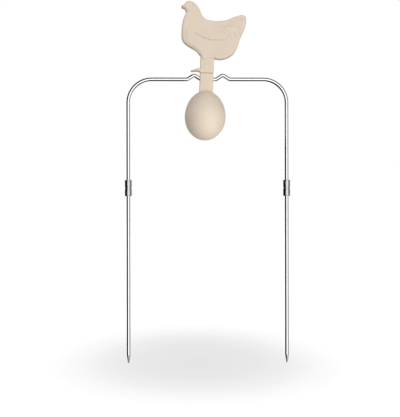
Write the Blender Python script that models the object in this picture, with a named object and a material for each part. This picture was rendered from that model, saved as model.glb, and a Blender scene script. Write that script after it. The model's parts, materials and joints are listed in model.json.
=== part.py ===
"""Hen-and-egg spinner target on a two-stake wire frame.

The frame stands on the points of its two stakes at z = 0, with the crossbar along X. The hen's broad
faces look along Y and its beak points to -X. The hen and the egg spin together about the crossbar, and
the egg outweighs the hen, so the hen always comes back on top. Metres, +Z up.
"""
import math

import bmesh
import bpy
from mathutils import Matrix, Vector

MM = 0.001

# Clearances
GAP = 0.3 * MM                   # between faces that rest on or against each other
RUNNING_CLEARANCE = 0.3 * MM     # radial, between the crossbar, the pivot tube and the bore
SOCKET_CLEARANCE = 0.3 * MM      # round a rod in its sleeve, and round the tongue in the hen's socket

# Wire frame
ROD_DIAMETER = 6.35 * MM
LEG_SPACING = 264.0 * MM         # between the axes of the legs
BAR_HEIGHT = 472.0 * MM          # axis of the crossbar above the stakes' points
CORNER_RADIUS = 39.0 * MM        # of the two large bends, to the rod's axis
HUMP_SPACING = 47.5 * MM         # crest to crest
HUMP_SHIFT = 1.7 * MM            # middle of the humps, off the frame's middle along X
HUMP_RISE = 6.3 * MM             # of the rod's axis at a crest
HUMP_SLOPE = math.radians(33.0)
HUMP_BEND_RADIUS = 5.0 * MM      # of each hump's three bends, to the rod's axis

# Sleeves and stakes
SLEEVE_HEIGHT = 291.0 * MM       # middle of the sleeves above the stakes' points
SLEEVE_LENGTH = 26.7 * MM
SLEEVE_WALL = 2.4 * MM
SLEEVE_CHAMFER = 0.6 * MM
WAIST_DEPTH = 0.45 * MM          # of the crimped waist round a sleeve's middle
WAIST_LENGTH = 9.0 * MM
STOP_THICKNESS = 2.0 * MM        # the ridge that the crimp raises inside a sleeve
STOP_DEPTH = 1.4 * MM
STOP_RAMP = 0.6 * MM
ROD_END_CHAMFER = 0.5 * MM
POINT_LENGTH = 13.0 * MM
POINT_FLAT_DIAMETER = 2.0 * MM   # the small flat that the cut leaves on a point

# Target
TARGET_REST = -3.5 * MM          # where the target rests, off the middle of the humps
TARGET_LEAN = math.radians(2.0)  # slack in the bore lets the target hang this much askew
PLATE_THICKNESS = 22.0 * MM      # hen and the part of the stem moulded with it
PLATE_EDGE = 0.8 * MM            # easing of the plate's rim
STEM_WIDTH = 22.6 * MM
SEAM_HEIGHT = 9.8 * MM           # joint between the two mouldings, above the crossbar's axis
NECK_THICKNESS = 14.5 * MM
NECK_EDGE = 1.5 * MM
TONGUE_WIDTH = 14.0 * MM
TONGUE_THICKNESS = 9.0 * MM
TONGUE_LENGTH = 20.0 * MM
CUT_OVERLAP = 2.0 * MM           # how far the socket's cutter reaches past the seam
FLARE_LENGTH = 4.0 * MM          # the bore opens out at both ends to pass over the humps
FLARE_DEPTH = 1.1 * MM
TUBE_WALL = 0.7 * MM
TUBE_INSET = 3.8 * MM            # the tube's ends inside the neck's side faces, clear of the humps
EGG_DEPTH = 62.8 * MM            # widest level of the egg below the crossbar's axis
EGG_RADIUS = 34.0 * MM
EGG_UPPER = 43.5 * MM            # from the widest level to the narrow end
EGG_LOWER = 39.0 * MM            # from the widest level to the blunt end
TOE_LENGTH = 15.4 * MM
SPUR_DEPTH = 1.2 * MM

# Facets
ROD_RESOLUTION = 6               # bevel resolution of the hoop, giving 16 sides
ROD_SIDES = 16
SLEEVE_SIDES = 32
TUBE_SIDES = 24
EGG_SIDES = 44
EGG_RINGS = 22
BEND_STEP = math.radians(9.0)
RUN_STEPS = 3                    # outline vertices for each point of a smooth run

# Worked out from the above
ROD_RADIUS = ROD_DIAMETER / 2
SLEEVE_BORE = ROD_RADIUS + SOCKET_CLEARANCE
SLEEVE_RADIUS = SLEEVE_BORE + SLEEVE_WALL
STOP_REACH = STOP_THICKNESS / 2 + STOP_RAMP + GAP
LEG_END = SLEEVE_HEIGHT + STOP_REACH
STAKE_TOP = SLEEVE_HEIGHT - STOP_REACH
STEM_HALF = STEM_WIDTH / 2
PIVOT_X = HUMP_SHIFT + TARGET_REST
TUBE_BORE = ROD_RADIUS + RUNNING_CLEARANCE
TUBE_RADIUS = TUBE_BORE + TUBE_WALL
LEAN_ROOM = STEM_HALF * math.tan(TARGET_LEAN)
NECK_BORE = TUBE_RADIUS + RUNNING_CLEARANCE + LEAN_ROOM


def clear_scene():
    for thing in list(bpy.data.objects):
        bpy.data.objects.remove(thing, do_unlink=True)


def make_material(name, colour, roughness, metallic=0.0):
    material = bpy.data.materials.new(name)
    material.use_nodes = True
    shader = material.node_tree.nodes["Principled BSDF"]
    shader.inputs["Base Color"].default_value = (*colour, 1.0)
    shader.inputs["Roughness"].default_value = roughness
    shader.inputs["Metallic"].default_value = metallic
    return material


def add_object(name, data, material=None, parent=None, location=(0.0, 0.0, 0.0)):
    thing = bpy.data.objects.new(name, data)
    bpy.context.scene.collection.objects.link(thing)
    thing.location = location
    thing.parent = parent
    if material:
        data.materials.append(material)
    return thing


def mesh_from(bm, name, sharp_degrees=35.0):
    bmesh.ops.recalc_face_normals(bm, faces=bm.faces)
    mesh = bpy.data.meshes.new(name)
    bm.to_mesh(mesh)
    bm.free()
    mesh.shade_smooth()
    mesh.set_sharp_from_angle(angle=math.radians(sharp_degrees))
    return mesh


def make_guide(thing):
    thing.hide_render = True
    thing.display_type = "WIRE"
    return thing


def add_boolean(thing, operation, other):
    modifier = thing.modifiers.new(f"{operation.lower()}_{other.name}", "BOOLEAN")
    modifier.operation = operation
    modifier.solver = "EXACT"
    modifier.object = other


def turned(name, profile, sides, closed=False, sharp_degrees=35.0):
    """Turn (radius, height) points about Z. An open profile starts and ends on the axis."""
    bm = bmesh.new()
    verts = [bm.verts.new((radius, 0.0, height)) for radius, height in profile]
    pairs = list(zip(verts, verts[1:]))
    if closed:
        pairs.append((verts[-1], verts[0]))
    edges = [bm.edges.new(pair) for pair in pairs]
    bmesh.ops.spin(
        bm, geom=verts + edges, cent=(0, 0, 0), axis=(0, 0, 1), dvec=(0, 0, 0),
        angle=math.tau, steps=sides, use_merge=True, use_duplicate=False,
    )
    bmesh.ops.remove_doubles(bm, verts=bm.verts, dist=0.00001)
    return mesh_from(bm, name, sharp_degrees)


def block(name, size_x, size_y, low, high, edge=0.0):
    """A box centred on the Z axis between two heights, with its upright edges rounded."""
    bm = bmesh.new()
    bmesh.ops.create_cube(bm, size=1.0)
    bmesh.ops.scale(bm, vec=(size_x, size_y, high - low), verts=bm.verts)
    bmesh.ops.translate(bm, vec=(0.0, 0.0, (high + low) / 2), verts=bm.verts)
    if edge:
        upright = [e for e in bm.edges if abs(e.verts[0].co.z - e.verts[1].co.z) > edge]
        bmesh.ops.bevel(
            bm, geom=upright, offset=edge, segments=4, profile=0.5, affect="EDGES", material=-1,
        )
    return mesh_from(bm, name)


def bent_path(corners):
    """Points along a bent rod, given (x, z, bend radius) for its ends and corners."""
    points = [Vector(corners[0][:2])]
    for before, here, after in zip(corners, corners[1:], corners[2:]):
        corner = Vector(here[:2])
        arriving = (corner - Vector(before[:2])).normalized()
        leaving = (Vector(after[:2]) - corner).normalized()
        turn = arriving.angle_signed(leaving)
        start = corner - arriving * here[2] * math.tan(abs(turn) / 2)
        side = Vector((arriving.y, -arriving.x)) * math.copysign(here[2], turn)
        centre = start + side
        steps = max(2, round(abs(turn) / BEND_STEP))
        for step in range(steps + 1):
            rotation = Matrix.Rotation(-turn * step / steps, 2)
            points.append(centre - rotation @ side)
    points.append(Vector(corners[-1][:2]))
    return points


def hump_corners(crest_x):
    """The three corners of a hump whose rounded crest stands HUMP_RISE above the bar."""
    sharp_rise = HUMP_RISE + HUMP_BEND_RADIUS * (1 / math.cos(HUMP_SLOPE) - 1)
    reach = sharp_rise / math.tan(HUMP_SLOPE)
    return [
        (crest_x - reach, 0.0, HUMP_BEND_RADIUS),
        (crest_x, sharp_rise, HUMP_BEND_RADIUS),
        (crest_x + reach, 0.0, HUMP_BEND_RADIUS),
    ]


def make_hoop(material):
    side = LEG_SPACING / 2
    leg_end = LEG_END - BAR_HEIGHT
    corners = [(-side, leg_end, 0.0), (-side, 0.0, CORNER_RADIUS)]
    corners += hump_corners(HUMP_SHIFT - HUMP_SPACING / 2)
    corners += hump_corners(HUMP_SHIFT + HUMP_SPACING / 2)
    corners += [(side, 0.0, CORNER_RADIUS), (side, leg_end, 0.0)]
    points = bent_path(corners)
    curve = bpy.data.curves.new("upper_hoop", "CURVE")
    curve.dimensions = "3D"
    curve.bevel_depth = ROD_RADIUS
    curve.bevel_resolution = ROD_RESOLUTION
    curve.use_fill_caps = True
    spline = curve.splines.new("POLY")
    spline.points.add(len(points) - 1)
    for slot, point in zip(spline.points, points):
        slot.co = (point.x, 0.0, point.y, 1.0)
    spline.use_smooth = True
    return add_object("upper_hoop", curve, material, location=(0.0, 0.0, BAR_HEIGHT))


def sleeve_profile():
    """Closed section of a sleeve: bore with the crimp's ridge, chamfered ends, waisted outside."""
    half = SLEEVE_LENGTH / 2
    ridge = STOP_THICKNESS / 2
    waist_half = WAIST_LENGTH / 2
    outside = [(SLEEVE_RADIUS - SLEEVE_CHAMFER, half), (SLEEVE_RADIUS, half - SLEEVE_CHAMFER)]
    steps = 8
    for step in range(steps + 1):
        height = waist_half * (1 - 2 * step / steps)
        dip = WAIST_DEPTH * math.cos(math.pi / 2 * height / waist_half) ** 2
        outside.append((SLEEVE_RADIUS - dip, height))
    outside += [(SLEEVE_RADIUS, SLEEVE_CHAMFER - half), (SLEEVE_RADIUS - SLEEVE_CHAMFER, -half)]
    inside = [
        (SLEEVE_BORE, -half),
        (SLEEVE_BORE, -ridge - STOP_RAMP),
        (SLEEVE_BORE - STOP_DEPTH, -ridge),
        (SLEEVE_BORE - STOP_DEPTH, ridge),
        (SLEEVE_BORE, ridge + STOP_RAMP),
        (SLEEVE_BORE, half),
    ]
    return outside + inside


def make_legs(rod_material, sleeve_material):
    inner_end = ROD_RADIUS - ROD_END_CHAMFER
    stake_profile = [
        (0.0, 0.0),
        (POINT_FLAT_DIAMETER / 2, 0.0),
        (ROD_RADIUS, POINT_LENGTH),
        (ROD_RADIUS, STAKE_TOP - ROD_END_CHAMFER),
        (inner_end, STAKE_TOP),
        (0.0, STAKE_TOP),
    ]
    for side_name, side in (("left", -1), ("right", 1)):
        axis_x = side * LEG_SPACING / 2
        sleeve = turned(f"{side_name}_sleeve", sleeve_profile(), SLEEVE_SIDES, closed=True)
        stake = turned(f"{side_name}_stake", stake_profile, ROD_SIDES)
        add_object(f"{side_name}_sleeve", sleeve, sleeve_material, location=(axis_x, 0, SLEEVE_HEIGHT))
        add_object(f"{side_name}_stake", stake, rod_material, location=(axis_x, 0, 0))


def smooth_run(points, steps=RUN_STEPS):
    """Points on a smooth curve through the given ones, ending on the last."""
    points = [Vector(point) for point in points]
    padded = [2 * points[0] - points[1]] + points + [2 * points[-1] - points[-2]]
    curve = []
    for a, b, c, d in zip(padded, padded[1:], padded[2:], padded[3:]):
        for step in range(steps):
            t = step / steps
            curve.append(
                0.5 * (2 * b + (c - a) * t + (2 * a - 5 * b + 4 * c - d) * t ** 2
                       + (3 * b - a - 3 * c + d) * t ** 3)
            )
    curve.append(points[-1])
    return curve


def hen_outline():
    """The hen with its leg and toe as (x, z) in millimetres, clockwise from the foot of the stem."""
    half = STEM_HALF / MM
    seam = (SEAM_HEIGHT + GAP / 2) / MM
    tip = -half - TOE_LENGTH / MM
    toe = [(-half, 11.8), (-half - 3.9, 13.3), (tip + 1.0, 12.3), (tip, 12.6), (tip + 0.9, 13.3),
           (-half - 10.2, 14.8), (-half - 5.3, 17.4), (-half, 17.0)]
    breast = [(-half, 38.1), (-17.8, 45.7), (-24.3, 49.7), (-32.2, 53.9), (-39.3, 59.4),
              (-43.2, 66.1), (-44.3, 78.1), (-43.8, 88.1), (-41.7, 98.5), (-39.1, 105.4),
              (-37.1, 111.0)]
    beak = [(-38.4, 113.0), (-40.6, 116.4), (-44.0, 117.3), (-45.7, 118.4), (-45.7, 119.8),
            (-44.4, 120.8), (-41.2, 122.2)]
    back = [(-39.0, 126.0), (-34.5, 128.2), (-29.6, 127.8), (-23.6, 125.0), (-18.6, 119.9),
            (-14.6, 113.4), (-11.6, 106.8), (-8.4, 102.2), (-3.9, 99.1), (2.8, 97.3), (11.1, 96.4),
            (20.7, 97.0), (29.1, 98.5), (35.7, 100.9), (43.1, 104.3), (50.7, 107.2), (56.7, 108.2),
            (61.1, 106.1), (62.7, 101.0), (62.2, 93.4), (60.3, 84.7), (56.5, 76.0), (53.0, 67.2),
            (50.6, 57.6), (47.1, 49.5), (40.6, 40.9), (30.1, 35.2), (20.8, 33.5), (half, 34.6)]
    spur = [(half, 20.0), (half + SPUR_DEPTH / MM, 17.8), (half, 15.4)]
    foot = [(half, seam), (-half, seam)]
    return toe + smooth_run(breast) + beak + smooth_run(back) + spur + foot


def plate(name, outline, thickness, edge):
    """Extrude an outline in XZ, given in millimetres, along Y about y = 0 and ease its rim."""
    bm = bmesh.new()
    rim = [bm.verts.new((x * MM, -thickness / 2, z * MM)) for x, z in outline]
    face = bm.faces.new(rim)
    extruded = bmesh.ops.extrude_face_region(bm, geom=[face], use_keep_orig=True)["geom"]
    moved = [part for part in extruded if isinstance(part, bmesh.types.BMVert)]
    bmesh.ops.translate(bm, vec=(0.0, thickness, 0.0), verts=moved)
    rims = [e for e in bm.edges if abs(e.verts[0].co.y - e.verts[1].co.y) < thickness / 2]
    bmesh.ops.bevel(bm, geom=rims, offset=edge, segments=2, profile=0.5, affect="EDGES", material=-1)
    return mesh_from(bm, name)


def make_bore_cutter(pivot):
    """A rod along X, longer than the neck is wide, that leaves the flared bore of the pivot tube."""
    mouth = NECK_BORE + FLARE_DEPTH
    plain = STEM_HALF - FLARE_LENGTH
    bore = turned("neck_bore", [
        (0.0, -STEM_WIDTH),
        (mouth, -STEM_WIDTH),
        (mouth, -STEM_HALF),
        (NECK_BORE, -plain),
        (NECK_BORE, plain),
        (mouth, STEM_HALF),
        (mouth, STEM_WIDTH),
        (0.0, STEM_WIDTH),
    ], TUBE_SIDES)
    cutter = make_guide(add_object("neck_bore_cutter", bore, parent=pivot))
    cutter.rotation_euler = (0.0, math.pi / 2, 0.0)
    return cutter


def make_hen(material, pivot):
    body = plate("hen_moulding", hen_outline(), PLATE_THICKNESS, PLATE_EDGE)
    hen = add_object("hen_moulding", body, material, pivot)
    socket = block(
        "hen_socket",
        TONGUE_WIDTH + 2 * SOCKET_CLEARANCE,
        TONGUE_THICKNESS + 2 * SOCKET_CLEARANCE,
        SEAM_HEIGHT - CUT_OVERLAP,
        SEAM_HEIGHT + TONGUE_LENGTH + GAP,
    )
    add_boolean(hen, "DIFFERENCE", make_guide(add_object("hen_socket_cutter", socket, parent=pivot)))


def egg_profile():
    """Half section of the egg from its blunt end up: two half ellipses of one radius."""
    profile = []
    for step in range(EGG_RINGS + 1):
        angle = math.pi * (step / EGG_RINGS - 0.5)
        reach = EGG_UPPER if angle > 0 else EGG_LOWER
        radius = EGG_RADIUS * math.cos(angle) if 0 < step < EGG_RINGS else 0.0
        profile.append((radius, reach * math.sin(angle) - EGG_DEPTH))
    return profile


def make_egg(material, pivot):
    egg_mesh = turned("egg_moulding", egg_profile(), EGG_SIDES, sharp_degrees=50.0)
    egg = add_object("egg_moulding", egg_mesh, material, pivot)
    neck_top = SEAM_HEIGHT - GAP / 2
    neck = block("neck", STEM_WIDTH, NECK_THICKNESS, -EGG_DEPTH, neck_top, NECK_EDGE)
    tongue = block("tongue", TONGUE_WIDTH, TONGUE_THICKNESS, 0.0, SEAM_HEIGHT + TONGUE_LENGTH)
    add_boolean(egg, "UNION", make_guide(add_object("neck_guide", neck, parent=pivot)))
    add_boolean(egg, "UNION", make_guide(add_object("tongue_guide", tongue, parent=pivot)))
    add_boolean(egg, "DIFFERENCE", make_bore_cutter(pivot))


def make_pivot_tube(material):
    half = STEM_HALF - TUBE_INSET
    section = [(TUBE_BORE, -half), (TUBE_RADIUS, -half), (TUBE_RADIUS, half), (TUBE_BORE, half)]
    mesh = turned("pivot_tube", section, TUBE_SIDES, closed=True)
    tube = add_object("pivot_tube", mesh, material, location=(PIVOT_X, 0.0, BAR_HEIGHT))
    tube.rotation_euler = (0.0, math.pi / 2, 0.0)


def make_target(polymer, tube_material):
    pivot = add_object("target_pivot", None, location=(PIVOT_X, 0.0, BAR_HEIGHT))
    pivot.rotation_euler = (0.0, TARGET_LEAN, 0.0)
    make_hen(polymer, pivot)
    make_egg(polymer, pivot)
    make_pivot_tube(tube_material)


def main():
    clear_scene()
    zinc = make_material("bright_zinc", (0.78, 0.80, 0.81), 0.18, 1.0)
    satin = make_material("satin_sleeve", (0.66, 0.68, 0.69), 0.38, 1.0)
    polymer = make_material("tan_polymer", (0.72, 0.61, 0.48), 0.55)
    steel = make_material("plain_steel", (0.50, 0.51, 0.52), 0.35, 1.0)
    make_hoop(zinc)
    make_legs(zinc, satin)
    make_target(polymer, steel)


main()
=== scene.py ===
"""Studio model of a hen-and-egg spinner target on its wire ground stand."""

import json
import math

import bmesh
import bpy
import numpy as np
from mathutils import Matrix, Vector
from mathutils.bvhtree import BVHTree


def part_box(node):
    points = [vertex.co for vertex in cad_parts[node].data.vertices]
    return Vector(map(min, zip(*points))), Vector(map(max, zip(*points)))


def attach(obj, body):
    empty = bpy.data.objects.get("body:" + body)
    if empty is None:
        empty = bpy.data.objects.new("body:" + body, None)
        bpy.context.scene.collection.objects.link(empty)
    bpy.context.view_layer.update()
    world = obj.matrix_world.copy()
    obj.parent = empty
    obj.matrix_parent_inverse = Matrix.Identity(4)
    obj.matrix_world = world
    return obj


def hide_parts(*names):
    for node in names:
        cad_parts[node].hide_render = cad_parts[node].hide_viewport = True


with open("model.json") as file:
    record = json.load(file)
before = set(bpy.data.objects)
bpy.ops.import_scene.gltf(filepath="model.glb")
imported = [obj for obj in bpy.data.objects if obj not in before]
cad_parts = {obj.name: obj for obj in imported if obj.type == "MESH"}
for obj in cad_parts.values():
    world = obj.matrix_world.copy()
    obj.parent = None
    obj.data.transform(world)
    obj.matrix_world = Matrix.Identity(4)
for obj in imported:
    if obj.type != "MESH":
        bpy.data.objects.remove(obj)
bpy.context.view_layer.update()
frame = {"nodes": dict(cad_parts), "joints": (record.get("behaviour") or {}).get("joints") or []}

MM = 0.001

# Wire stand
ROD_RADIUS = 3.175 * MM
LEG_X = 132.0 * MM
BAR_Z = 472.0 * MM
CORNER_RADIUS = 39.0 * MM
HUMP_SPACING = 47.5 * MM
HUMP_SHIFT = 1.7 * MM
HUMP_RISE = 6.3 * MM
HUMP_SLOPE = math.radians(33.0)
HUMP_BEND_RADIUS = 5.0 * MM
ROD_CHAMFER = 0.5 * MM
ROD_SIDES = 32
CORNER_STEPS = 26
HUMP_STEPS = 8

# Crimped sleeves
SLEEVE_Z = 291.0 * MM
SLEEVE_HALF = 13.35 * MM
SLEEVE_BORE = 3.475 * MM
SLEEVE_RADIUS = 5.875 * MM
SLEEVE_EDGE = 0.6 * MM
WAIST_DEPTH = 0.45 * MM
WAIST_HALF = 4.5 * MM
STOP_DEPTH = 1.4 * MM
STOP_HALF = 1.0 * MM
STOP_RAMP = 0.6 * MM

# Pivot tube
TUBE_BORE = 3.475 * MM
TUBE_EDGE = 0.2 * MM

# Target, in millimetres about its pivot with the stem upright
TARGET_LEAN = math.radians(2.0)
HALF_PLATE = 11.0
SOCKET_DEPTH = 5.6
SOCKET_HALF = 8.0
SOCKET_TOP = 31.0
SEAM = 9.8
EGG_CENTRE = -62.8
EGG_RADIUS = 34.0
EGG_UPPER = 43.5
EGG_LOWER = 39.0
NECK_BORE = 4.87
BORE_PLAIN = 6.8
HEN_VOXEL = 0.55
WALL_REACH = 0.45
EGG_VOXEL = 0.6
NARROW_RIM = (2.4, 1.7)
WIDE_RIM = (6.2, 3.4)
STEM_SET_BACK = 1.3
WING_RELIEF = 0.55
GROOVE_DEPTH = 0.42
GROOVE_REACH = 0.55

# Studio
POOL_X = -0.016
POOL_HALF_WIDTH = 0.33
POOL_BEHIND = 0.85
POOL_BEFORE = 0.62
CAMERA_DISTANCE = 2.0
CAMERA_LENS = 103.58

pivot = next(Vector(joint["pos_m"]) for joint in frame["joints"] if joint["name"] == "target_spin")
hang = Matrix.Translation(pivot) @ Matrix.Rotation(TARGET_LEAN, 4, "Y") @ Matrix.Scale(MM, 4)


# ---------------------------------------------------------------- finishes

def new_finish(name):
    """A node material, its node tree and its shader."""
    finish = bpy.data.materials.new(name)
    finish.use_nodes = True
    tree = finish.node_tree
    return finish, tree, tree.nodes["Principled BSDF"]


def object_place(tree):
    return tree.nodes.new("ShaderNodeTexCoord").outputs["Object"]


def attribute(tree, name, output):
    node = tree.nodes.new("ShaderNodeAttribute")
    node.attribute_name = name
    return node.outputs[output]


def stretched(tree, place, scale):
    node = tree.nodes.new("ShaderNodeMapping")
    node.inputs["Scale"].default_value = scale
    tree.links.new(place, node.inputs["Vector"])
    return node.outputs["Vector"]


def noise(tree, place, scale, detail=3.0, roughness=0.5):
    node = tree.nodes.new("ShaderNodeTexNoise")
    node.inputs["Scale"].default_value = scale
    node.inputs["Detail"].default_value = detail
    node.inputs["Roughness"].default_value = roughness
    tree.links.new(place, node.inputs["Vector"])
    return node.outputs["Fac"]


def ramp(tree, value, stops):
    """Colours or greys along a value, given (position, colour)."""
    node = tree.nodes.new("ShaderNodeValToRGB")
    points = node.color_ramp.elements
    while len(points) < len(stops):
        points.new(0.5)
    for point, (position, colour) in zip(points, stops):
        point.position = position
        point.color = (*colour, 1.0) if isinstance(colour, tuple) else (colour, colour, colour, 1.0)
    tree.links.new(value, node.inputs["Fac"])
    return node.outputs["Color"]


def mixed(tree, amount, first, second, blend="MIX"):
    """first blended towards second; either may be a socket or a colour."""
    node = tree.nodes.new("ShaderNodeMix")
    node.data_type = "RGBA"
    node.blend_type = blend
    for socket, source in ((node.inputs[0], amount), (node.inputs[6], first), (node.inputs[7], second)):
        if isinstance(source, bpy.types.NodeSocket):
            tree.links.new(source, socket)
        else:
            socket.default_value = (*source, 1.0) if isinstance(source, tuple) else source
    return node.outputs[2]


def scaled(tree, value, factor):
    node = tree.nodes.new("ShaderNodeMath")
    node.operation = "MULTIPLY"
    node.inputs[1].default_value = factor
    tree.links.new(value, node.inputs[0])
    return node.outputs[0]


def bumped(tree, height, distance, strength, below=None):
    node = tree.nodes.new("ShaderNodeBump")
    node.inputs["Distance"].default_value = distance
    node.inputs["Strength"].default_value = strength
    tree.links.new(height, node.inputs["Height"])
    if below:
        tree.links.new(below, node.inputs["Normal"])
    return node.outputs["Normal"]


def moulded_polymer():
    """Matt tan self-sealing plastic: soft cloudiness, fine grain, painted shade in recesses, painted
    highlight on rims.
    """
    finish, tree, shader = new_finish("tan_moulded_polymer")
    place = object_place(tree)
    cloud = noise(tree, place, 26.0, 4.0, 0.55)
    speckle = noise(tree, place, 620.0, 2.0)
    tan = ramp(tree, cloud, [(0.30, (0.690, 0.585, 0.472)), (0.72, (0.735, 0.628, 0.512))])
    grain_tone = ramp(tree, speckle, [(0.30, 0.965), (0.70, 1.0)])
    tan = mixed(tree, 1.0, tan, grain_tone, "MULTIPLY")
    # Painted shade: the relief's grooves and the crease where the neck meets the egg are darkened towards
    # deep brown.
    recess_shade_amount = scaled(tree, attribute(tree, "painted_recess_shade", "Fac"), 0.65)
    tan = mixed(tree, recess_shade_amount, tan, (0.47, 0.375, 0.27))
    # Painted highlight: the rims of the rounded edges are lightened and yellowed.
    rim_highlight_amount = scaled(tree, attribute(tree, "rim", "Fac"), 0.30)
    tan = mixed(tree, rim_highlight_amount, tan, (0.80, 0.70, 0.56))
    tree.links.new(tan, shader.inputs["Base Color"])
    dullness = ramp(tree, noise(tree, place, 90.0, 3.0), [(0.3, 0.50), (0.7, 0.62)])
    tree.links.new(dullness, shader.inputs["Roughness"])
    skin = bumped(tree, noise(tree, place, 420.0, 2.0), 0.00008, 0.35)
    grain = bumped(tree, noise(tree, place, 2600.0, 2.0), 0.00004, 0.35, skin)
    tree.links.new(grain, shader.inputs["Normal"])
    shader.inputs["Specular IOR Level"].default_value = 0.35
    return finish


def drawn_metal(name, dark, light, dullness, line_scale, line_depth):
    """Plated or plain drawn steel: cloudy tone, with fine lines along the stock."""
    finish, tree, shader = new_finish(name)
    place = attribute(tree, "along_stock", "Vector")
    cloud = noise(tree, place, 130.0, 4.0, 0.6)
    lines = noise(tree, stretched(tree, place, (1.0, 1.0, 0.02)), line_scale, 3.0, 0.6)
    tone = ramp(tree, cloud, [(0.28, dark), (0.74, light)])
    streaks = ramp(tree, lines, [(0.25, 0.90), (0.60, 1.0)])
    tree.links.new(mixed(tree, 1.0, tone, streaks, "MULTIPLY"), shader.inputs["Base Color"])
    spread = mixed(tree, 0.4, cloud, lines)
    low, high = dullness
    tree.links.new(ramp(tree, spread, [(0.30, low), (0.70, high)]), shader.inputs["Roughness"])
    tree.links.new(bumped(tree, lines, line_depth, 0.30), shader.inputs["Normal"])
    shader.inputs["Metallic"].default_value = 1.0
    return finish


polymer = moulded_polymer()
bright_zinc = drawn_metal(
    "bright_zinc_plate", (0.80, 0.83, 0.84), (0.90, 0.92, 0.93), (0.08, 0.17), 1500.0, 0.00002
)
satin_zinc = drawn_metal(
    "satin_zinc_sleeve", (0.60, 0.605, 0.60), (0.72, 0.72, 0.71), (0.24, 0.38), 1100.0, 0.00004
)
tube_steel = drawn_metal(
    "plain_tube_steel", (0.40, 0.40, 0.41), (0.56, 0.56, 0.57), (0.26, 0.42), 1300.0, 0.00003
)


# ---------------------------------------------------------------- helpers

def finished(bm, name, body, finish, replaced, sharp_degrees=40.0):
    """Makes a piece of a bmesh and puts it on its body in place of a CAD node."""
    bmesh.ops.recalc_face_normals(bm, faces=bm.faces)
    mesh = bpy.data.meshes.new(name)
    bm.to_mesh(mesh)
    bm.free()
    mesh.shade_smooth()
    mesh.set_sharp_from_angle(angle=math.radians(sharp_degrees))
    mesh.materials.append(finish)
    piece = bpy.data.objects.new(name, mesh)
    bpy.context.scene.collection.objects.link(piece)
    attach(piece, body)
    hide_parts(replaced)
    return piece


def mark_stock(bm):
    """Notes each vertex's place on straight stock whose axis is Z."""
    layer = bm.verts.layers.float_vector.new("along_stock")
    for vert in bm.verts:
        vert[layer] = vert.co


def turned(profile, sides, closed=False):
    """A bmesh turned about Z from (radius, height) points."""
    bm = bmesh.new()
    verts = [bm.verts.new((radius, 0.0, height)) for radius, height in profile]
    pairs = list(zip(verts, verts[1:]))
    if closed:
        pairs.append((verts[-1], verts[0]))
    edges = [bm.edges.new(pair) for pair in pairs]
    bmesh.ops.spin(
        bm, geom=verts + edges, cent=(0, 0, 0), axis=(0, 0, 1), dvec=(0, 0, 0),
        angle=math.tau, steps=sides, use_merge=True, use_duplicate=False,
    )
    bmesh.ops.remove_doubles(bm, verts=bm.verts, dist=0.000005)
    mark_stock(bm)
    return bm


def rounded_corner(radius, height, edge, start, end, steps=4):
    """Points round a corner of a profile, between two directions given in degrees."""
    points = []
    for step in range(steps + 1):
        angle = math.radians(start + (end - start) * step / steps)
        points.append((radius + edge * math.cos(angle), height + edge * math.sin(angle)))
    return points


# ---------------------------------------------------------------- wire stand

def bending_plan():
    """Lengths and bends of the hoop, from the left leg's end to the right leg's."""
    sharp_rise = HUMP_RISE + HUMP_BEND_RADIUS * (1 / math.cos(HUMP_SLOPE) - 1)
    reach = sharp_rise / math.tan(HUMP_SLOPE)
    foot_take = HUMP_BEND_RADIUS * math.tan(HUMP_SLOPE / 2)
    crest_take = HUMP_BEND_RADIUS * math.tan(HUMP_SLOPE)
    slope = ("run", sharp_rise / math.sin(HUMP_SLOPE) - foot_take - crest_take)
    hump = [
        ("bend", HUMP_BEND_RADIUS, HUMP_SLOPE, HUMP_STEPS),
        slope,
        ("bend", HUMP_BEND_RADIUS, -2 * HUMP_SLOPE, 2 * HUMP_STEPS),
        slope,
        ("bend", HUMP_BEND_RADIUS, HUMP_SLOPE, HUMP_STEPS),
    ]
    corner = ("bend", CORNER_RADIUS, -math.pi / 2, CORNER_STEPS)
    leg = ("run", BAR_Z - CORNER_RADIUS - hoop_end)
    outer = LEG_X - CORNER_RADIUS - HUMP_SPACING / 2 - reach - foot_take
    between = ("run", HUMP_SPACING - 2 * reach - 2 * foot_take)
    return [
        leg, corner, ("run", outer + HUMP_SHIFT), *hump, between, *hump,
        ("run", outer - HUMP_SHIFT), corner, leg,
    ]


def stations_along(plan, x, z, heading):
    """(x, z, heading, length so far) wherever the rod's ring of vertices stands."""
    length = 0.0
    stations = [(x, z, heading, length)]
    for kind, *sizes in plan:
        if kind == "run":
            x += sizes[0] * math.cos(heading)
            z += sizes[0] * math.sin(heading)
            length += sizes[0]
            stations.append((x, z, heading, length))
            continue
        radius, turn, steps = sizes
        side = math.copysign(radius, turn)
        centre = (x - side * math.sin(heading), z + side * math.cos(heading))
        for step in range(1, steps + 1):
            angle = heading + turn * step / steps
            x = centre[0] + side * math.sin(angle)
            z = centre[1] - side * math.cos(angle)
            stations.append((x, z, angle, length + abs(turn) * radius * step / steps))
        heading += turn
        length += abs(turn) * radius
    return stations


def station_matrix(x, z, heading, size=1.0):
    """Carries a ring drawn about Z to a station of the rod."""
    travel = Vector((math.cos(heading), 0.0, math.sin(heading)))
    across = Vector((0.0, 1.0, 0.0))
    normal = across.cross(travel)
    turn = Matrix((normal, across, travel)).transposed().to_4x4()
    return Matrix.Translation((x, 0.0, z)) @ turn @ Matrix.Diagonal((size, size, 1.0, 1.0))


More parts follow.
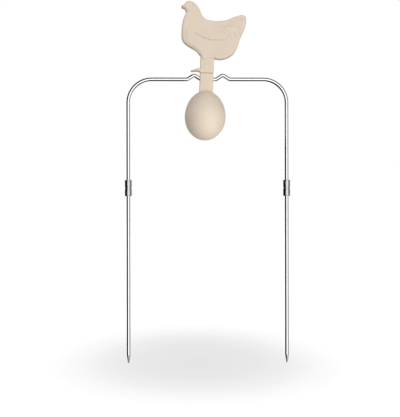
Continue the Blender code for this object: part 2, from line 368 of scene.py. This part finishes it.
def make_hoop():
    stations = stations_along(bending_plan(), -LEG_X, hoop_end, math.pi / 2)
    x, z, heading, total = stations[-1]
    end_size = 1 - ROD_CHAMFER / ROD_RADIUS
    rings = [(*stations[0], end_size)]
    first_x, first_z, first_heading, _ = stations[0]
    rings.append((first_x, first_z + ROD_CHAMFER, first_heading, ROD_CHAMFER, 1.0))
    rings += [(*station, 1.0) for station in stations[1:-1]]
    rings.append((x, z + ROD_CHAMFER, heading, total - ROD_CHAMFER, 1.0))
    rings.append((x, z, heading, total, end_size))

    bm = bmesh.new()
    bmesh.ops.create_circle(bm, cap_ends=True, segments=ROD_SIDES, radius=ROD_RADIUS)
    layer = bm.verts.layers.float_vector.new("along_stock")
    edges = list(bm.edges)
    for vert in bm.verts:
        vert[layer] = vert.co
    placed = station_matrix(*rings[0][:3], rings[0][4])
    bmesh.ops.transform(bm, matrix=placed, verts=bm.verts)
    for ring_x, ring_z, ring_heading, length, size in rings[1:]:
        grown = bmesh.ops.extrude_edge_only(bm, edges=edges)["geom"]
        verts = [part for part in grown if isinstance(part, bmesh.types.BMVert)]
        ring = set(verts)
        edges = [
            part for part in grown
            if isinstance(part, bmesh.types.BMEdge) and set(part.verts) <= ring
        ]
        matrix = station_matrix(ring_x, ring_z, ring_heading, size)
        bmesh.ops.transform(bm, matrix=matrix @ placed.inverted(), verts=verts)
        for vert in verts:
            vert[layer] = matrix.inverted() @ vert.co + Vector((0.0, 0.0, length))
        placed = matrix
    bmesh.ops.holes_fill(bm, edges=edges, sides=0)
    finished(bm, "bent_hoop", "frame", bright_zinc, "upper_hoop")


def sleeve_profile():
    """Closed section of a sleeve: crimp ridge in the bore, rolled ends, pinched waist."""
    half = SLEEVE_HALF
    outside = rounded_corner(SLEEVE_RADIUS - SLEEVE_EDGE, half - SLEEVE_EDGE, SLEEVE_EDGE, 90, 0)
    steps = 16
    for step in range(steps + 1):
        height = WAIST_HALF * (1 - 2 * step / steps)
        dip = WAIST_DEPTH * math.cos(math.pi / 2 * height / WAIST_HALF) ** 2
        outside.append((SLEEVE_RADIUS - dip, height))
    outside += rounded_corner(SLEEVE_RADIUS - SLEEVE_EDGE, SLEEVE_EDGE - half, SLEEVE_EDGE, 0, -90)
    inside = [
        (SLEEVE_BORE, -half),
        (SLEEVE_BORE, -STOP_HALF - STOP_RAMP),
        (SLEEVE_BORE - STOP_DEPTH, -STOP_HALF),
        (SLEEVE_BORE - STOP_DEPTH, STOP_HALF),
        (SLEEVE_BORE, STOP_HALF + STOP_RAMP),
        (SLEEVE_BORE, half),
    ]
    return outside + inside


def make_leg(side_name, axis_x):
    sleeve = turned(sleeve_profile(), 64, closed=True)
    bmesh.ops.translate(sleeve, vec=(axis_x, 0.0, SLEEVE_Z), verts=sleeve.verts)
    finished(
        sleeve, f"{side_name}_crimped_sleeve", "frame", satin_zinc,
        f"{side_name}_sleeve",
    )
    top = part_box(f"{side_name}_stake")[1].z
    stake = turned([
        (0.0, 0.0),
        (0.75 * MM, 0.0),
        (0.98 * MM, 0.12 * MM),
        (1.15 * MM, 0.6 * MM),
        (ROD_RADIUS - 0.25 * MM, 12.2 * MM),
        (ROD_RADIUS - 0.06 * MM, 13.0 * MM),
        (ROD_RADIUS, 14.0 * MM),
        (ROD_RADIUS, top - ROD_CHAMFER),
        (ROD_RADIUS - ROD_CHAMFER, top),
        (0.0, top),
    ], ROD_SIDES)
    bmesh.ops.translate(stake, vec=(axis_x, 0.0, 0.0), verts=stake.verts)
    finished(
        stake, f"{side_name}_pointed_stake", f"{side_name}_leg", bright_zinc,
        f"{side_name}_stake",
    )


# ---------------------------------------------------------------- target

def fine_copy(node, voxel):
    """A bmesh of a CAD node about the pivot with the stem upright, in millimetres, finely remeshed."""
    bm = bmesh.new()
    bm.from_mesh(frame["nodes"][node].data)
    bmesh.ops.remove_doubles(bm, verts=bm.verts, dist=0.00001)
    bmesh.ops.transform(bm, matrix=hang.inverted(), verts=bm.verts)
    coarse = bm.copy()
    mesh = bpy.data.meshes.new("remesh")
    bm.to_mesh(mesh)
    holder = bpy.data.objects.new("remesh", mesh)
    bpy.context.scene.collection.objects.link(holder)
    modifier = holder.modifiers.new("voxels", "REMESH")
    modifier.mode = "VOXEL"
    modifier.voxel_size = voxel
    depsgraph = bpy.context.evaluated_depsgraph_get()
    fine = bpy.data.meshes.new_from_object(holder.evaluated_get(depsgraph))
    bpy.data.objects.remove(holder)
    bm.clear()
    bm.from_mesh(fine)
    return bm, coarse


def smoothed(bm, verts, rounds):
    for _ in range(rounds):
        bmesh.ops.smooth_vert(
            bm, verts=verts, factor=0.5, use_axis_x=True, use_axis_y=True, use_axis_z=True,
        )


def ease(value, low, high):
    """0 below low, 1 above high, smooth between."""
    t = np.clip((value - low) / (high - low), 0.0, 1.0)
    return t * t * (3.0 - 2.0 * t)


def distance_to_stroke(x, z, stroke):
    """Distance of points to a broken line, and how far along it they lie, from 0 to 1."""
    nearest = np.full(len(x), 1e9)
    along = np.zeros(len(x))
    pairs = list(zip(stroke, stroke[1:]))
    for index, ((ax, az), (bx, bz)) in enumerate(pairs):
        dx, dz = bx - ax, bz - az
        t = np.clip(((x - ax) * dx + (z - az) * dz) / (dx * dx + dz * dz), 0.0, 1.0)
        distance = np.hypot(x - ax - t * dx, z - az - t * dz)
        closer = distance < nearest
        nearest = np.where(closer, distance, nearest)
        along = np.where(closer, (index + t) / len(pairs), along)
    return nearest, along


BACK_FEATHERS = [
    [(19.1, 89.6), (27.8, 87.5), (32.7, 86.7)],
    [(19.2, 86.3), (25.6, 84.0), (33.1, 80.4)],
    [(20.4, 79.6), (27.1, 76.9), (33.1, 73.2)],
    [(30.6, 90.9), (34.8, 89.1), (38.7, 86.9)],
    [(34.3, 93.4), (39.1, 90.7), (46.0, 86.3)],
    [(33.6, 97.7), (39.4, 95.9), (45.7, 94.7)],
]
TAIL_FEATHERS = [
    [(35.2, 79.2), (37.2, 72.6), (39.9, 66.9)],
    [(41.4, 79.3), (44.9, 74.1), (48.2, 71.0)],
    [(47.8, 84.7), (50.9, 78.7), (55.5, 74.5)],
    [(48.0, 92.8), (50.6, 87.4), (54.7, 82.7)],
    [(43.0, 103.7), (47.8, 98.6), (51.3, 98.4), (60.2, 102.5)],
]
LEG_LINES = [
    [(-3.8, 28.5), (-4.5, 24.3), (-6.6, 18.4)],
    [(0.4, 26.7), (0.8, 25.5)],
    [(11.6, 44.7), (12.6, 39.0)],
    [(-27.2, 122.9), (-25.4, 119.2)],
]
BREAST_LINE = [
    (-36.9, 83.5), (-36.2, 77.8), (-36.2, 67.9), (-33.7, 61.3), (-27.8, 55.8), (-20.2, 51.5),
    (-14.2, 47.0), (-10.1, 41.4),
]
BELLY_LINE = [(-10.7, 39.0), (-7.8, 35.5), (-4.3, 30.6), (2.8, 34.0), (9.5, 35.7), (14.1, 35.0)]
WING_EDGE = [(-23.6, 76.1), (-12.3, 70.0), (4.1, 65.1), (28.1, 65.7), (32.2, 68.6), (34.7, 72.7)]
SCALLOPED_TO = 4.1
SCALLOPS = 5
TIP_DROP = 3.4


def wing_edge(x):
    """Height of the wing's lower edge at x, and how strong its line is between two feather tips."""
    xs, zs = zip(*WING_EDGE)
    phase = (x - xs[0]) / (SCALLOPED_TO - xs[0]) * SCALLOPS
    share = phase - np.floor(phase)
    tipped = (phase > 0) & (phase < SCALLOPS)
    step_down = np.where(tipped, TIP_DROP * (0.5 - share), 0.0)
    strength = np.where(tipped, np.sin(np.pi * share) ** 0.7, 0.5)
    return np.interp(x, xs, zs) + step_down, strength


def hen_relief(x, z):
    """How far the hen's faces lie below the plate's full thickness, and how far of it is line work."""
    lines = np.zeros(len(x))
    for stroke in BACK_FEATHERS + TAIL_FEATHERS + LEG_LINES:
        distance, along = distance_to_stroke(x, z, stroke)
        taper = 0.45 + 0.55 * np.sin(np.pi * np.clip(along, 0.0, 1.0))
        lines = np.maximum(lines, 0.75 * taper * np.exp(-(distance / GROOVE_REACH) ** 2))
    distance, _ = distance_to_stroke(x, z, BREAST_LINE)
    lines = np.maximum(lines, 0.75 * np.exp(-(distance / GROOVE_REACH) ** 2))

    height, strength = wing_edge(x)
    edge = z - height
    within = ease(x, -24.0, -21.0) * (1.0 - ease(x, 33.7, 35.1))
    wing = within * ease(x, -22.0, 2.0) * ease(edge, -0.35, 0.35) * np.exp(-np.maximum(edge, 0.0) / 9.0)
    lines = np.maximum(lines, 1.5 * strength * within * np.exp(-((edge + 0.45) / 0.75) ** 2))

    belly = np.interp(x, *zip(*BELLY_LINE)) - z
    stem = ease(belly, -1.0, 1.0) * (np.abs(x) < 13.5)
    drop = 0.5 - WING_RELIEF * wing + GROOVE_DEPTH * lines + STEM_SET_BACK * stem
    return drop, lines


def rim_walls(coarse):
    """The plate's outer rim as a tree to measure from, without its socket and its seam face."""
    coarse.normal_update()
    inner = []
    for face in coarse.faces:
        centre = face.calc_center_median()
        socket = abs(centre.x) < SOCKET_HALF and centre.z < SOCKET_TOP and abs(centre.y) < SOCKET_DEPTH
        flat = abs(face.normal.y) > 0.3
        if flat or socket or centre.z < SEAM + 0.6:
            inner.append(face)
    bmesh.ops.delete(coarse, geom=inner, context="FACES")
    return BVHTree.FromBMesh(coarse)


def make_hen():
    bm, coarse = fine_copy("hen_moulding", HEN_VOXEL)
    rim = rim_walls(coarse)
    coarse.free()
    smoothed(bm, bm.verts, 3)
    bm.verts.ensure_lookup_table()
    places = np.array([vert.co for vert in bm.verts])
    x, y, z = (places[:, axis].copy() for axis in range(3))
    inwards = np.zeros(len(places))
    low_left = np.zeros(len(places))
    for index, (px, _, pz) in enumerate(places):
        here = Vector((px, 0.0, pz))
        point, normal, _, distance = rim.find_nearest(here)
        if distance < WALL_REACH:
            x[index] = point.x
            z[index] = point.z
            distance = 0.0
        inwards[index] = distance
        low_left[index] = -0.8 * normal.z - 0.6 * normal.x
    body = ease(z, 34.0, 40.0)
    wide = ease(low_left, 0.0, 0.75) * body
    reach = NARROW_RIM[0] + (WIDE_RIM[0] - NARROW_RIM[0]) * wide
    depth = NARROW_RIM[1] + (WIDE_RIM[1] - NARROW_RIM[1]) * wide
    toe = ease(-x, 10.8, 12.6) * (1.0 - body)
    depth = depth * (1.0 - 0.7 * toe)
    fall = np.clip(1.0 - inwards / reach, 0.0, 1.0)
    rounding = depth * (1.0 - np.sqrt(1.0 - fall ** 2))
    relief, lines = hen_relief(x, z)
    relief = relief * (1.0 - 0.8 * toe)
    outer = np.clip((np.abs(y) - SOCKET_DEPTH) / (HALF_PLATE - SOCKET_DEPTH), 0.0, 1.0)
    drop = (rounding + relief) * outer
    deep = np.sign(y) * (np.abs(y) - drop)
    painted_recess_shade = bm.verts.layers.float.new("painted_recess_shade")
    edge = bm.verts.layers.float.new("rim")
    for vert, new_x, new_y, new_z, line, share, near in zip(bm.verts, x, deep, z, lines, outer, inwards):
        vert.co = (new_x, new_y, new_z)
        # Painted shade in the relief's grooves, following the line work.
        vert[painted_recess_shade] = line * share ** 4
        # Painted highlight along the rounded rim, strongest at the outline.
        vert[edge] = max(0.0, 1.0 - near / 1.6) * share
    bmesh.ops.transform(bm, matrix=hang, verts=bm.verts)
    finished(bm, "hen_plate", "target", polymer, "hen_moulding", 60.0)


def make_egg():
    bm, coarse = fine_copy("egg_moulding", EGG_VOXEL)
    coarse.free()
    smoothed(bm, bm.verts, 2)
    join = [
        vert for vert in bm.verts
        if vert.co.z > EGG_CENTRE + 30.0 and vert.co.z < -20.0
        and abs(vert.co.x) < 13.0 and abs(vert.co.y) < 9.5
    ]
    smoothed(bm, join, 8)
    painted_recess_shade = bm.verts.layers.float.new("painted_recess_shade")
    edge = bm.verts.layers.float.new("rim")
    for vert in bm.verts:
        height = vert.co.z - EGG_CENTRE
        stretch = (EGG_UPPER if height > 0 else EGG_LOWER) / EGG_RADIUS
        radius = math.hypot(vert.co.x, vert.co.y, height / stretch)
        in_join = abs(vert.co.x) < 14.0 and abs(vert.co.y) < 10.5 and height > 30.0
        if abs(radius - EGG_RADIUS) < 0.6 and not in_join:
            vert.co = Vector((0.0, 0.0, EGG_CENTRE)) + (vert.co - Vector((0.0, 0.0, EGG_CENTRE))) * (
                EGG_RADIUS / radius
            )
        bore = math.hypot(vert.co.y, vert.co.z)
        if abs(bore - NECK_BORE) < 0.35 and abs(vert.co.x) < BORE_PLAIN:
            vert.co.y *= NECK_BORE / bore
            vert.co.z *= NECK_BORE / bore
        # Painted shade darkens the crease where the neck meets the egg.
        crease_shade = math.exp(-((radius - EGG_RADIUS - 0.8) / 1.2) ** 2) if in_join else 0.0
        vert[painted_recess_shade] = 0.45 * crease_shade
        vert[edge] = 0.0
    bmesh.ops.transform(bm, matrix=hang, verts=bm.verts)
    finished(bm, "egg_and_neck", "target", polymer, "egg_moulding", 60.0)


def make_tube():
    low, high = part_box("pivot_tube")
    half = (high.x - low.x) / 2
    outer = (high.z - low.z) / 2
    corner = outer - TUBE_EDGE
    profile = rounded_corner(corner, half - TUBE_EDGE, TUBE_EDGE, 90, 0, 3)
    profile += rounded_corner(corner, TUBE_EDGE - half, TUBE_EDGE, 0, -90, 3)
    profile += [(TUBE_BORE, -half), (TUBE_BORE, half)]
    bm = turned(profile, 48, closed=True)
    bmesh.ops.rotate(bm, cent=(0, 0, 0), matrix=Matrix.Rotation(math.pi / 2, 3, "Y"), verts=bm.verts)
    bmesh.ops.translate(bm, vec=(low + high) / 2, verts=bm.verts)
    finished(bm, "pivot_liner", "pivot", tube_steel, "pivot_tube")


hoop_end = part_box("upper_hoop")[0].z
make_hoop()
make_leg("left", -LEG_X)
make_leg("right", LEG_X)
make_hen()
make_egg()
make_tube()


# ---------------------------------------------------------------- studio

def make_floor():
    """Pale floor with a soft pool of shade under the stand."""
    bm = bmesh.new()
    bmesh.ops.create_grid(bm, x_segments=8, y_segments=8, size=20.0)
    bmesh.ops.translate(bm, vec=(0.0, 0.0, -0.0003), verts=bm.verts)
    mesh = bpy.data.meshes.new("studio_floor")
    bm.to_mesh(mesh)
    bm.free()
    floor = bpy.data.objects.new("studio_floor", mesh)
    bpy.context.scene.collection.objects.link(floor)
    floor.visible_diffuse = False
    floor.visible_glossy = False

    finish, tree, shader = new_finish("pale_floor")
    mesh.materials.append(finish)
    apart = tree.nodes.new("ShaderNodeSeparateXYZ")
    tree.links.new(object_place(tree), apart.inputs[0])

    def maths(operation, first, second=None):
        node = tree.nodes.new("ShaderNodeMath")
        node.operation = operation
        for socket, source in zip(node.inputs, (first, second)):
            if isinstance(source, bpy.types.NodeSocket):
                tree.links.new(source, socket)
            elif source is not None:
                socket.default_value = source
        return node.outputs[0]

    across = maths("DIVIDE", maths("SUBTRACT", apart.outputs["X"], POOL_X), POOL_HALF_WIDTH)
    behind = maths("DIVIDE", maths("MAXIMUM", apart.outputs["Y"], 0.0), POOL_BEHIND)
    before = maths("DIVIDE", maths("MINIMUM", apart.outputs["Y"], 0.0), POOL_BEFORE)
    depth = maths("ADD", behind, before)
    away = maths("SQRT", maths("ADD", maths("MULTIPLY", across, across), maths("MULTIPLY", depth, depth)))
    pool = ramp(tree, away, [
        (0.0, 0.723), (0.30, 0.753), (0.49, 0.814), (0.567, 0.863), (0.707, 0.915), (0.85, 0.965),
        (1.0, 1.0),
    ])
    tree.links.new(mixed(tree, 1.0, pool, (0.25, 0.25, 0.25), "MULTIPLY"), shader.inputs["Base Color"])
    tree.links.new(pool, shader.inputs["Emission Color"])
    shader.inputs["Emission Strength"].default_value = 0.885
    shader.inputs["Roughness"].default_value = 0.9
    shader.inputs["Specular IOR Level"].default_value = 0.0


def make_surroundings():
    """A white cove. In reflections its sides are dark, which edges the bright metal."""
    world = bpy.data.worlds.new("white_cove")
    bpy.context.scene.world = world
    world.use_nodes = True
    tree = world.node_tree
    background = tree.nodes["Background"]
    apart = tree.nodes.new("ShaderNodeSeparateXYZ")
    tree.links.new(tree.nodes.new("ShaderNodeTexCoord").outputs["Generated"], apart.inputs[0])

    def eased(axis, low, high, to):
        node = tree.nodes.new("ShaderNodeMapRange")
        node.interpolation_type = "SMOOTHSTEP"
        node.inputs["From Min"].default_value = low
        node.inputs["From Max"].default_value = high
        node.inputs["To Min"].default_value = 0.0
        node.inputs["To Max"].default_value = to
        tree.links.new(apart.outputs[axis], node.inputs["Value"])
        return node.outputs["Result"]

    def added(*parts):
        total = parts[0]
        for part in parts[1:]:
            node = tree.nodes.new("ShaderNodeMath")
            node.operation = "ADD"
            tree.links.new(total, node.inputs[0])
            tree.links.new(part, node.inputs[1])
            total = node.outputs[0]
        return total

    general = added(
        eased("Y", -0.52, -0.78, 1.16),
        eased("Y", 0.42, 0.62, 1.10),
        eased("X", 0.60, 1.0, 0.42),
        eased("X", -0.30, -1.0, 0.48),
        eased("Z", 0.40, 1.0, 0.52),
    )
    on_left = eased("X", 0.25, -0.25, 1.0)
    before = mixed(tree, on_left, eased("Y", -0.62, -0.82, 1.42), eased("Y", -0.82, -0.93, 1.42))
    behind = mixed(tree, on_left, eased("Y", 0.56, 0.78, 1.0), eased("Y", 0.92, 1.0, 1.0))
    cards = added(
        before,
        behind,
        eased("X", 0.56, 0.94, 0.30),
        eased("Z", 0.86, 0.98, 0.08),
    )
    path = tree.nodes.new("ShaderNodeLightPath")
    lit = mixed(tree, path.outputs["Is Diffuse Ray"], cards, general)
    seen = mixed(tree, path.outputs["Is Camera Ray"], lit, (1.0, 1.0, 1.0))
    tree.links.new(seen, background.inputs["Color"])


def add_softbox(name, place, aim, size, power):
    light = bpy.data.lights.new(name, "AREA")
    light.shape = "SQUARE"
    light.size = size
    light.energy = power
    lamp = bpy.data.objects.new(name, light)
    bpy.context.scene.collection.objects.link(lamp)
    lamp.location = place
    lamp.rotation_mode = "QUATERNION"
    lamp.rotation_quaternion = (Vector(aim) - Vector(place)).to_track_quat("-Z", "Y")
    lamp.visible_camera = False
    lamp.visible_glossy = False


def make_camera():
    """Level camera, a little to the left of straight ahead and very slightly rolled."""
    azimuth = math.radians(-1.5)
    roll = math.radians(-0.10512)
    target = Vector((-0.01289, 0.0, 0.256812))
    back = Vector((math.sin(azimuth), -math.cos(azimuth), 0.0))
    level = Vector((math.cos(azimuth), math.sin(azimuth), 0.0))
    upright = Vector((0.0, 0.0, 1.0))
    right = level * math.cos(roll) + upright * math.sin(roll)
    up = upright * math.cos(roll) - level * math.sin(roll)
    data = bpy.data.cameras.new("studio_camera")
    data.lens = CAMERA_LENS
    data.sensor_width = 36.0
    data.clip_start = 0.05
    data.clip_end = 200.0
    camera = bpy.data.objects.new("studio_camera", data)
    bpy.context.scene.collection.objects.link(camera)
    turn = Matrix((right, up, back)).transposed().to_4x4()
    camera.matrix_world = Matrix.Translation(target + back * CAMERA_DISTANCE) @ turn
    bpy.context.scene.camera = camera


make_floor()
make_surroundings()
add_softbox("key_softbox", (0.9, -1.3, 0.75), (0.0, 0.0, 0.45), 0.9, 8.4)
add_softbox("low_fill", (0.08, -0.09, 0.23), (0.0, 0.0, 0.40), 0.12, 0.19)
make_camera()
bpy.context.scene.view_settings.view_transform = "Standard"
